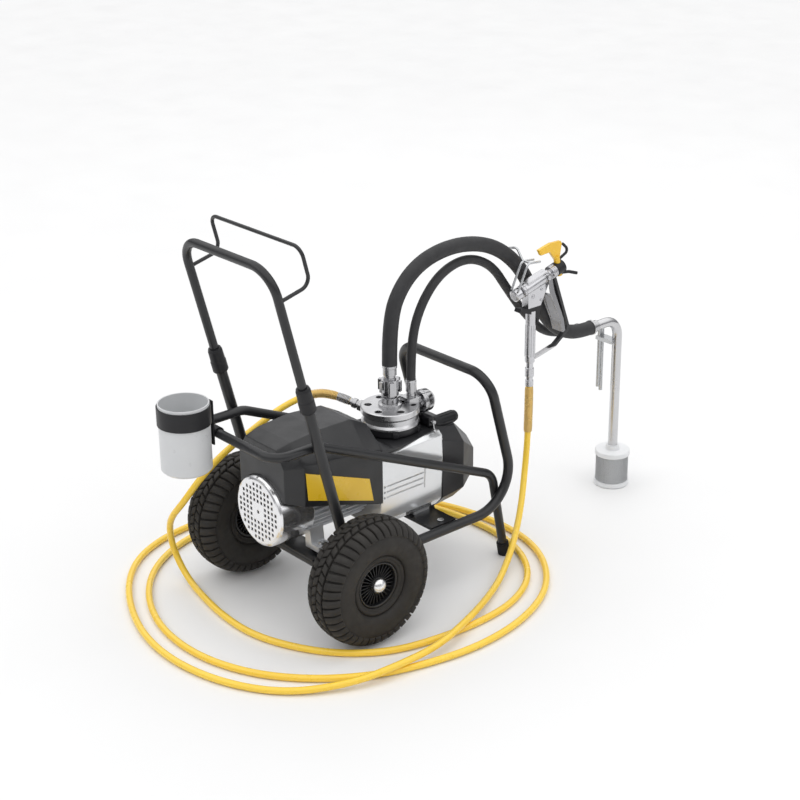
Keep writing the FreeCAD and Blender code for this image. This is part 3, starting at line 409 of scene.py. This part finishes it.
MATERIALS = {
    "frame_paint": finish("frame_paint", (0.016, 0.0163, 0.018), 0.36, vary=0.15, grain=900,
                          grain_depth=0.00005, edge=(0.06, 0.06, 0.065), edge_mix=0.3),
    "bright_steel": finish("bright_steel", (0.55, 0.56, 0.57), 0.26, metal=1.0, vary=0.08, grain=500,
                           grain_depth=0.00002, edge=(0.85, 0.85, 0.85)),
    "chrome_cap": finish("chrome_cap", (0.86, 0.86, 0.86), 0.27, metal=1.0, vary=0.04, grain=300,
                         grain_depth=0.00001),
    "black_rubber": finish("black_rubber", (0.014, 0.014, 0.015), 0.78, vary=0.3, grain=1300,
                           grain_depth=0.0001, specular=0.35),
    "cowl_white": finish("cowl_white", (0.84, 0.84, 0.85), 0.15, metal=0.92, vary=0.02, grain=800,
                         grain_depth=0.00001, soften=0.003, rough_vary=0.04),
    "motor_alloy": finish("motor_alloy", (0.66, 0.67, 0.69), 0.34, metal=0.55, vary=0.08, grain=420,
                          grain_depth=0.0001, edge=(0.85, 0.86, 0.87), edge_mix=0.3),
    "laminations": finish("laminations", (0.30, 0.30, 0.31), 0.45, metal=0.9, vary=0.2,
                          grain=900, grain_depth=0.0001, stretch=(0.02, 1.0, 0.02)),
    "fan_plastic": finish("fan_plastic", (0.02, 0.02, 0.022), 0.5, vary=0.15, grain=900),
    "shroud_plastic": finish("shroud_plastic", (0.017, 0.0173, 0.019), 0.38, vary=0.08, grain=1300,
                             grain_depth=0.00008, edge=(0.07, 0.07, 0.075), edge_mix=0.3, soften=0.004),
    "label_gold": finish("label_gold", (1.0, 0.62, 0.03), 0.30, vary=0.05, grain=900, grain_depth=0.00002,
                         coat=0.3),
    "housing_silver": finish("housing_silver", (0.80, 0.81, 0.82), 0.17, metal=0.7, vary=0.02, grain=260,
                             grain_depth=0.00002, soften=0.004, rough_vary=0.04, coat=0.2),
    "black_casting": finish("black_casting", (0.012, 0.012, 0.014), 0.36, vary=0.12, grain=600,
                            grain_depth=0.00005, edge=(0.05, 0.05, 0.055), edge_mix=0.3, soften=0.004),
    "head_steel": finish("head_steel", (0.60, 0.60, 0.61), 0.30, metal=1.0, vary=0.05, grain=1600,
                         grain_depth=0.00002, turned_round=HEAD_AXIS, edge=(0.85, 0.85, 0.85)),
    "valve_chrome": finish("valve_chrome", (0.48, 0.48, 0.49), 0.16, metal=1.0, vary=0.08, grain=500,
                           grain_depth=0.00001, edge=(0.8, 0.8, 0.82)),
    "hose_grey": finish("hose_grey", (0.030, 0.030, 0.032), 0.60, vary=0.12, cloud=20, grain=900,
                        grain_depth=0.0001, specular=0.45),
    "hose_yellow": finish("hose_yellow", (1.0, 0.66, 0.06), 0.30, vary=0.03, cloud=6, grain=700,
                          grain_depth=0.00002, coat=0.35),
    "spring_gold": finish("spring_gold", (0.80, 0.56, 0.20), 0.30, metal=0.6, vary=0.1, grain=500,
                          grain_depth=0.00001),
    "pipe_alloy": finish("pipe_alloy", (0.60, 0.60, 0.61), 0.22, metal=1.0, vary=0.05, grain=700,
                         grain_depth=0.00002, stretch=(1.0, 1.0, 0.03)),
    "strainer_white": finish("strainer_white", (0.80, 0.81, 0.82), 0.42, vary=0.02, grain=900),
    "screen_mesh": finish("screen_mesh", (0.55, 0.56, 0.57), 0.40, metal=0.5, vary=0.05, grain=900),
    "trigger_steel": finish("trigger_steel", (0.26, 0.26, 0.27), 0.24, metal=1.0, vary=0.08, grain=500,
                            grain_depth=0.00002, edge=(0.9, 0.9, 0.9), edge_mix=0.9, soften=0.0015),
    "guard_strap": finish("guard_strap", (0.020, 0.020, 0.022), 0.40, vary=0.1, grain=900,
                          grain_depth=0.00003, below=(STRAP_BRIGHT_BELOW, (0.62, 0.62, 0.63))),
    "gun_alloy": finish("gun_alloy", (0.60, 0.60, 0.62), 0.21, metal=1.0, vary=0.05, grain=350,
                        grain_depth=0.00003, soften=0.0025),
    "black_plastic": finish("black_plastic", (0.013, 0.013, 0.015), 0.44, vary=0.12, grain=1100,
                            grain_depth=0.00006, specular=0.35, edge=(0.05, 0.05, 0.055), edge_mix=0.3),
    "tip_yellow": finish("tip_yellow", (0.92, 0.55, 0.02), 0.28, vary=0.04, grain=900, coat=0.3,
                         soften=0.002),
    "cup_grey": finish("cup_grey", (0.64, 0.65, 0.66), 0.34, vary=0.02, cloud=14, grain=900,
                       grain_depth=0.00002, soften=0.0008),
    "tyre_rubber": finish("tyre_rubber", (0.024, 0.0215, 0.019), 0.66, vary=0.2, cloud=25, grain=1200,
                          grain_depth=0.0001, edge=(0.05, 0.048, 0.046), edge_mix=0.5, specular=0.4),
    "rim_black": finish("rim_black", (0.008, 0.008, 0.009), 0.30, vary=0.1, grain=800, grain_depth=0.00002,
                        edge=(0.05, 0.05, 0.055)),
}


def give(obj, slot):
    """Puts a slot's material on a new piece."""
    obj.data.materials.clear()
    obj.data.materials.append(MATERIALS[slot])


# ---------------------------------------------------------------- camera and cords

def add_camera():
    """Looks down at the machine from in front of its right side, rolled a little."""
    forward = Vector((-math.sin(CAMERA_AZIMUTH) * math.cos(CAMERA_DOWN),
                      math.cos(CAMERA_AZIMUTH) * math.cos(CAMERA_DOWN), -math.sin(CAMERA_DOWN)))
    level = Vector((math.cos(CAMERA_AZIMUTH), math.sin(CAMERA_AZIMUTH), 0))
    up = level.cross(forward)
    x_axis = math.cos(CAMERA_ROLL) * level + math.sin(CAMERA_ROLL) * up
    y_axis = -math.sin(CAMERA_ROLL) * level + math.cos(CAMERA_ROLL) * up
    data = bpy.data.cameras.new("camera")
    data.lens = CAMERA_LENS
    camera = add_object("camera", data)
    turn = Matrix((x_axis, y_axis, -forward)).transposed().to_4x4()
    camera.matrix_world = Matrix.Translation(CAMERA_AT) @ turn
    bpy.context.scene.camera = camera


def nurbs(name, route):
    """A smooth curve whose control points are the route's points."""
    data = bpy.data.curves.new(name, "CURVE")
    data.dimensions = "3D"
    spline = data.splines.new("NURBS")
    spline.points.add(len(route) - 1)
    for point, place in zip(spline.points, route):
        point.co = (*place, 1.0)
    spline.order_u = 3
    spline.use_endpoint_u = True
    spline.resolution_u = 16
    return add_object(name, data)


def line_of(route):
    """Points along a route's spline, end to end."""
    curve = nurbs("line", route)
    mesh = bpy.data.meshes.new_from_object(curve)
    points = [v.co.copy() for v in mesh.vertices]
    bpy.data.objects.remove(curve)
    bpy.data.meshes.remove(mesh)
    return points


def length_of(line):
    return sum((b - a).length for a, b in zip(line, line[1:]))


def walk(line, start, stop, step):
    """Points every step between two distances along a line."""
    out = []
    done = 0.0
    at = start
    for a, b in zip(line, line[1:]):
        run = (b - a).length
        while at <= done + run and at <= stop:
            out.append(a.lerp(b, (at - done) / run))
            at += step
        done += run
    return out


def hose(name, route, diameter, slot):
    """A round hose on its route, in place of the CAD node that its name starts with."""
    obj = nurbs(name, route)
    obj.data.bevel_depth = diameter / 2
    obj.data.bevel_resolution = 8
    obj.data.use_fill_caps = True
    give(obj, slot)
    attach(obj, "root")
    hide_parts(name.removesuffix("_curve"))
    return obj


def coil_spring(name, line, start, stop, slot):
    """Closely wound wire round a stretch of a hose, its last turns a little narrower."""
    core = walk(line, start, stop, GUARD_PITCH / GUARD_SIDES)
    turns = []
    for i, (point, side, up) in enumerate(carried_frames(core)):
        a = math.tau * i / GUARD_SIDES
        from_end = min(i, len(core) - 1 - i) / (GUARD_SIDES * GUARD_TAPER_TURNS)
        radius = GUARD_RADIUS - GUARD_TAPER * max(0.0, 1 - from_end)
        turns.append(point + radius * (math.cos(a) * side + math.sin(a) * up))
    build = Builder()
    build.sweep(turns, GUARD_WIRE, sides=6)
    obj = build.make(name, edge_angle=80)
    give(obj, slot)
    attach(obj, "root")
    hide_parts("spring_guards")
    return obj


def add_hoses():
    suction = hose("suction_hose_curve", SUCTION_ROUTE, SUCTION_DIAMETER, "hose_grey")
    back = hose("return_hose_curve", RETURN_ROUTE, RETURN_DIAMETER, "hose_grey")
    line = line_of(HP_ROUTE)
    total = length_of(line)
    pressure = hose("pressure_hose_curve", HP_ROUTE, PRESSURE_DIAMETER, "hose_yellow")
    guards = [
        coil_spring("spring_guard_steel", line, STEEL_GUARD_START, STEEL_GUARD_END, "valve_chrome"),
        coil_spring("spring_guard_head", line, STEEL_GUARD_END, HEAD_GUARD_END, "spring_gold"),
        coil_spring("spring_guard_gun", line, total - GUN_GUARD_END, total - GUN_GUARD_START,
                    "spring_gold"),
    ]


# ---------------------------------------------------------------- wheels

def tyre_profile():
    """Outer profile of the carcass from the crown to the bead, as (axial, radius), one side."""
    profile = []
    for a in (math.pi / 2 * i / CROWN_STEPS for i in range(CROWN_STEPS)):
        profile.append((TYRE_HALF_WIDTH * math.sin(a) ** CROWN_POWER,
                        TYRE_WIDEST + (TYRE_CROWN - TYRE_WIDEST) * math.cos(a) ** CROWN_POWER))
    profile.append((TYRE_HALF_WIDTH, TYRE_WIDEST))
    for a in (math.pi / 2 * i / SIDEWALL_STEPS for i in range(1, SIDEWALL_STEPS + 1)):
        profile.append((TYRE_BEAD_X + (TYRE_HALF_WIDTH - TYRE_BEAD_X) * math.cos(a),
                        TYRE_WIDEST - TYRE_BEAD_DROP * math.sin(a)))
    # the raised bead ring and the turn under the rim
    profile += [(0.0385, 0.0705), (0.0405, 0.0690), (0.0412, 0.0665), (0.0408, 0.0640), (0.0385, 0.0625),
                (0.0372, 0.0600), (0.0375, 0.0580), (0.0355, 0.0560), (0.0310, 0.0548), (0.0, 0.0548)]
    return profile


def along_profile(profile, distance):
    """Point and outward normal of the profile at a distance from the crown, signed by side."""
    side = 1 if distance >= 0 else -1
    left = abs(distance)
    for (x0, r0), (x1, r1) in zip(profile, profile[1:]):
        run = math.hypot(x1 - x0, r1 - r0)
        if left <= run:
            t = left / run
            normal = (-(r1 - r0) / run, (x1 - x0) / run)
            return side * (x0 + t * (x1 - x0)), r0 + t * (r1 - r0), side * normal[0], normal[1]
        left -= run
    raise ValueError(distance)


def lug(build, profile, centre, turn, low, high, lean):
    """One tread block: a pillow over the profile from low to high, leaning by an angle over its length."""
    across = (0.0, 0.035, 0.10, 0.5, 0.90, 0.965, 1.0)
    along = (0.0, 0.03, 0.09, 0.3, 0.5, 0.7, 0.91, 0.97, 1.0)
    rows = []
    for i, u in enumerate(along):
        s = low + (high - low) * u
        x, r, nx, nr = along_profile(profile, s)
        middle = turn + lean * (abs(s) - min(abs(low), abs(high))) / abs(high - low)
        half = LUG_HALF_ANGLE * (1 + LUG_WIDENING * u)
        down = max(0.0, (abs(s) - LUG_SHOULDER) / LUG_SHOULDER_RUN)
        full = LUG_HEIGHT * (1 - LUG_SHOULDER_DROP * down)
        row = []
        for k, v in enumerate(across):
            from_edge = min(i, len(along) - 1 - i, k, len(across) - 1 - k)
            h = (-LUG_SINK, LUG_ROUNDED * full, full)[min(from_edge, 2)]
            a = middle + (2 * v - 1) * half
            out = r + nr * h
            row.append(centre + Vector((x + nx * h, out * math.cos(a), out * math.sin(a))))
        rows.append(row)
    build.grid(rows)


def add_tyre(side, name, node):
    """A carcass with a middle and a shoulder block on each side at every pitch, the sides staggered."""
    centre = Vector((side * WHEEL_X, WHEEL_Y, WHEEL_Z))
    profile = tyre_profile()
    whole = [(-x, r) for x, r in reversed(profile[1:])] + profile
    build = Builder()
    build.revolve(whole, axis_place(centre, (1, 0, 0)), steps=128)
    for i in range(LUG_COUNT):
        for way in (-1, 1):
            turn = (i if way > 0 else i + 0.5) * LUG_PITCH
            for (low, high), ahead, lean in ((MIDDLE_LUG, LUG_AHEAD, LUG_LEAN),
                                             (SHOULDER_LUG, 0.0, -LUG_LEAN)):
                lug(build, profile, centre, turn + ahead, way * low, way * high, lean)
    tyre = build.make(name, edge_angle=60)
    give(tyre, "tyre_rubber")
    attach(tyre, "wheel_right" if side > 0 else "wheel_left")
    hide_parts(node)


def add_rim(side, name, node):
    """A dished rim with a hub, and radial ribs between them on both faces."""
    build = Builder()
    out = axis_place(Vector((side * WHEEL_X, WHEEL_Y, WHEEL_Z)), (side, 0, 0))
    ring = [(-0.034, 0.0540), (0.0335, 0.0540), (0.0345, 0.0530), (0.0345, 0.0505), (0.0330, 0.0490),
            (0.0200, 0.0470), (0.0165, 0.0440), (0.0150, 0.0380), (0.0145, 0.0230), (0.0150, 0.0205),
            (0.0300, 0.0195), (0.0318, 0.0185), (0.0322, 0.0170), (0.0322, 0.0092), (-0.0322, 0.0092),
            (-0.0322, 0.0170), (-0.0150, 0.0205), (-0.0145, 0.0440), (-0.0330, 0.0490), (-0.0340, 0.0505)]
    build.revolve(ring + ring[:1], out)
    for i in range(SPOKE_COUNT):
        place = out @ Matrix.Rotation(math.tau * i / SPOKE_COUNT, 4, "Z")
        for low, high in ((SPOKE_LOW, SPOKE_HIGH), (-SPOKE_HIGH, -SPOKE_LOW)):
            build.block((SPOKE_INNER, -SPOKE_HALF_WIDTH, low), (SPOKE_OUTER, SPOKE_HALF_WIDTH, high),
                        place, bevel=0.0005)
    rim = build.make(name)
    give(rim, "rim_black")
    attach(rim, "wheel_right" if side > 0 else "wheel_left")
    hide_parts(node)


def add_axle_caps():
    """Bright domed caps on both ends of the axle."""
    build = Builder()
    dome = [(0.0, 0.0), (0.0, 0.0178)]
    for a in (math.pi / 2 * k / 12 for k in range(13)):
        dome.append((0.002 + 0.0155 * math.sin(a), 0.0185 * math.cos(a)))
    for side in (1, -1):
        foot = Vector((side * AXLE_CAP_X, WHEEL_Y, WHEEL_Z))
        build.revolve(dome, axis_place(foot, (side, 0, 0)), steps=48)
    caps = build.make("axle_cap_domes", edge_angle=50)
    give(caps, "chrome_cap")
    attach(caps, "root")
    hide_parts("axle_caps")


# ---------------------------------------------------------------- gun

def add_gun_details():
    """Turned rings on the barrel, the hexagon under its nose and the screws in the casting's sides."""
    along = Vector((0, math.cos(BARREL_SLOPE), math.sin(BARREL_SLOPE)))
    barrel = axis_place(TIP_CENTRE, along)
    build = Builder()
    half = 0.0016
    for at, radius in ((-0.1275, 0.0158), (-0.1215, 0.0158), (-0.0560, 0.0162), (-0.0505, 0.0162),
                       (-0.0440, 0.0126), (-0.0385, 0.0126), (-0.0285, 0.0170), (-0.0235, 0.0170),
                       (-0.0185, 0.0170)):
        inner, rounded = radius - 0.003, radius - 0.0006
        build.revolve([(at - half, inner), (at - half, rounded), (at - half * 0.6, radius),
                       (at + half * 0.6, radius), (at + half, rounded), (at + half, inner)],
                      barrel, steps=40)
    # the hexagonal plug under the nose
    down = Vector((0, math.sin(BARREL_SLOPE), -math.cos(BARREL_SLOPE)))
    plug = axis_place(TIP_CENTRE - along * 0.0385 + down * 0.009, down)
    build.revolve([(0, 0), (0, 0.0085), (0.0110, 0.0085), (0.0125, 0.0070), (0.0125, 0)], plug, steps=6)
    build.revolve([(0.0125, 0.0052), (0.0165, 0.0052), (0.0175, 0.0042), (0.0175, 0)], plug, steps=24)
    # three screws and the trigger's pivot on both sides
    for side in (1, -1):
        for y, z, reach, radius in ((0.2850, 0.6180, 0.0108, 0.0052), (0.3120, 0.6040, 0.0108, 0.0040),
                                    (0.3130, 0.6300, 0.0108, 0.0040), (0.3315, 0.6570, 0.0188, 0.0055)):
            place = axis_place(Vector((GUN_X + side * reach, y, z)), (side, 0, 0))
            build.revolve([(0, radius), (0.0012, radius), (0.0020, radius * 0.8), (0.0020, radius * 0.5),
                           (0.0008, radius * 0.45), (0.0008, 0)], place, steps=24)
    details = build.make("gun_details", edge_angle=30)
    give(details, "gun_alloy")
    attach(details, "root")


def add_grip_flutes():
    """Long shallow ribs down the gun's grip, and rings round its tube above and below them."""
    low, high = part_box("gun_grip")
    foot = Vector(((low.x + high.x) / 2, (low.y + high.y) / 2, 0))
    build = Builder()
    for a in (math.tau * i / 12 for i in range(12)):
        at = foot + GRIP_RIB_RING * Vector((math.cos(a), math.sin(a), 0))
        build.sweep([at + Vector((0, 0, GRIP_RIB_LOW)), at + Vector((0, 0, GRIP_RIB_HIGH))],
                    GRIP_RIB_RADIUS)
    half = 0.0012
    for radius, heights in ((0.0113, (0.4110, 0.4150, 0.4190, 0.4230, 0.4270)),
                            (0.0104, (0.3860, 0.3900, 0.3940)), (0.0123, (0.4500, 0.4550))):
        inner, rounded = radius - 0.002, radius - 0.0004
        for z in heights:
            build.revolve([(z - half, inner), (z - half, rounded), (z, radius), (z + half, rounded),
                           (z + half, inner)], Matrix.Translation(foot), steps=36)
    ribs = build.make("gun_grip_ribs", edge_angle=50)
    give(ribs, "gun_alloy")
    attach(ribs, "root")


def round_edges(name, width):
    """Rounds a CAD node's crisp edges with modifiers, which leave its mesh as it is."""
    node = nodes[name]
    weld = node.modifiers.new("weld", "WELD")
    weld.merge_threshold = 0.00001
    bevel = node.modifiers.new("bevel", "BEVEL")
    bevel.width = width
    bevel.segments = 3
    bevel.limit_method = "ANGLE"
    bevel.angle_limit = math.radians(25)
    bevel.use_clamp_overlap = True
    bevel.harden_normals = True


# ---------------------------------------------------------------- strainer

def add_strainer_screen():
    """Woven wire round the strainer: upright wires with closely set hoops, over a plain inner sleeve."""
    low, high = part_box("strainer_screen")
    middle = (low + high) / 2
    radius = (high.x - low.x) / 2
    foot = Vector((middle.x, middle.y, 0))
    at_foot = Matrix.Translation(foot)
    build = Builder()
    outer = radius - 0.0016
    inner = outer - 0.001
    build.revolve([(low.z, outer), (high.z, outer), (high.z, inner), (low.z, inner), (low.z, outer)],
                  at_foot, steps=72)
    for a in (math.tau * i / SCREEN_WIRES for i in range(SCREEN_WIRES)):
        at = foot + (radius - SCREEN_WIRE) * Vector((math.cos(a), math.sin(a), 0))
        build.sweep([at + Vector((0, 0, low.z)), at + Vector((0, 0, high.z))], SCREEN_WIRE, sides=5,
                    caps=False)
    z = low.z + 0.002
    while z < high.z:
        hoop = [(z + SCREEN_HOOP * math.sin(b), radius - 0.0009 + SCREEN_HOOP * math.cos(b))
                for b in (math.tau * k / 5 for k in range(6))]
        build.revolve(hoop, at_foot, steps=SCREEN_WIRES)
        z += SCREEN_HOOP_PITCH
    screen = build.make("strainer_screen_wire", edge_angle=60)
    give(screen, "screen_mesh")
    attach(screen, "root")
    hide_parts("strainer_screen")


# ---------------------------------------------------------------- stage

def add_light(name, place, target, size, power):
    """A soft white panel of a size in metres and a power in watts, turned to a target."""
    data = bpy.data.lights.new(name, "AREA")
    data.shape = "RECTANGLE"
    data.size, data.size_y = size
    data.energy = power
    light = add_object(name, data)
    light.location = place
    light.rotation_euler = (Vector(target) - Vector(place)).to_track_quat("-Z", "Y").to_euler()


def add_stage():
    """A pale floor that reaches to the horizon, the sky and three soft lights."""
    ends = (-FLOOR_REACH, FLOOR_REACH)
    build = Builder()
    build.grid([[Vector((x, y, FLOOR_Z)) for y in ends] for x in ends])
    floor = build.make("floor")
    floor.data.materials.append(finish("floor_white", (0.86, 0.86, 0.86), 0.5, vary=0.01, cloud=1.5,
                                       grain=200, grain_depth=0.00002, specular=0.2))
    add_sky()
    add_light("key", (-1.2, -3.2, 3.4), (0, 0, 0.2), (2.2, 2.2), 9)
    add_light("side", (3.4, 1.6, 2.0), (0, 0, 0.4), (1.2, 2.4), 8)
    add_light("back", (-2.6, 3.0, 2.4), (0, 0, 0.4), (2.4, 1.4), 5)


def add_sky():
    """White overhead and grey towards the horizon, so that metal has something dark to mirror."""
    world = bpy.data.worlds.new("studio")
    bpy.context.scene.world = world
    world.use_nodes = True
    tree = world.node_tree
    background = tree.nodes["Background"]
    coords = tree.nodes.new("ShaderNodeTexCoord")
    split = tree.nodes.new("ShaderNodeSeparateXYZ")
    tree.links.new(coords.outputs["Generated"], split.inputs[0])
    ramp = tree.nodes.new("ShaderNodeValToRGB")
    tree.links.new(split.outputs["Z"], ramp.inputs[0])
    low, high = ramp.color_ramp.elements
    low.position, low.color = 0.02, (0.10, 0.10, 0.105, 1)
    high.position, high.color = 0.62, (1.0, 1.0, 1.0, 1)
    middle = ramp.color_ramp.elements.new(0.30)
    middle.color = (0.34, 0.34, 0.35, 1)
    tree.links.new(ramp.outputs[0], background.inputs["Color"])
    background.inputs["Strength"].default_value = 1.36


def dress_nodes():
    """Puts a material on every CAD node: its slot's own, but for two parts of the gun."""
    for subpart in frame["record"]["subparts"]:
        materials = nodes[subpart["node"]].data.materials
        materials.clear()
        materials.append(MATERIALS[subpart["material_slot"]])
    nodes["gun_trigger"].data.materials[0] = MATERIALS["trigger_steel"]
    nodes["trigger_guard"].data.materials[0] = MATERIALS["guard_strap"]


add_camera()
add_hoses()
for wheel_side, word in ((1, "right"), (-1, "left")):
    add_tyre(wheel_side, f"tyre_{word}_tread", f"tyre_{word}")
    add_rim(wheel_side, f"rim_{word}_ribbed", f"rim_{word}")
dress_nodes()
add_axle_caps()
add_gun_details()
add_grip_flutes()
add_strainer_screen()
for name, width in ROUNDED.items():
    round_edges(name, width)
add_stage()
bpy.context.scene.view_settings.view_transform = "Standard"
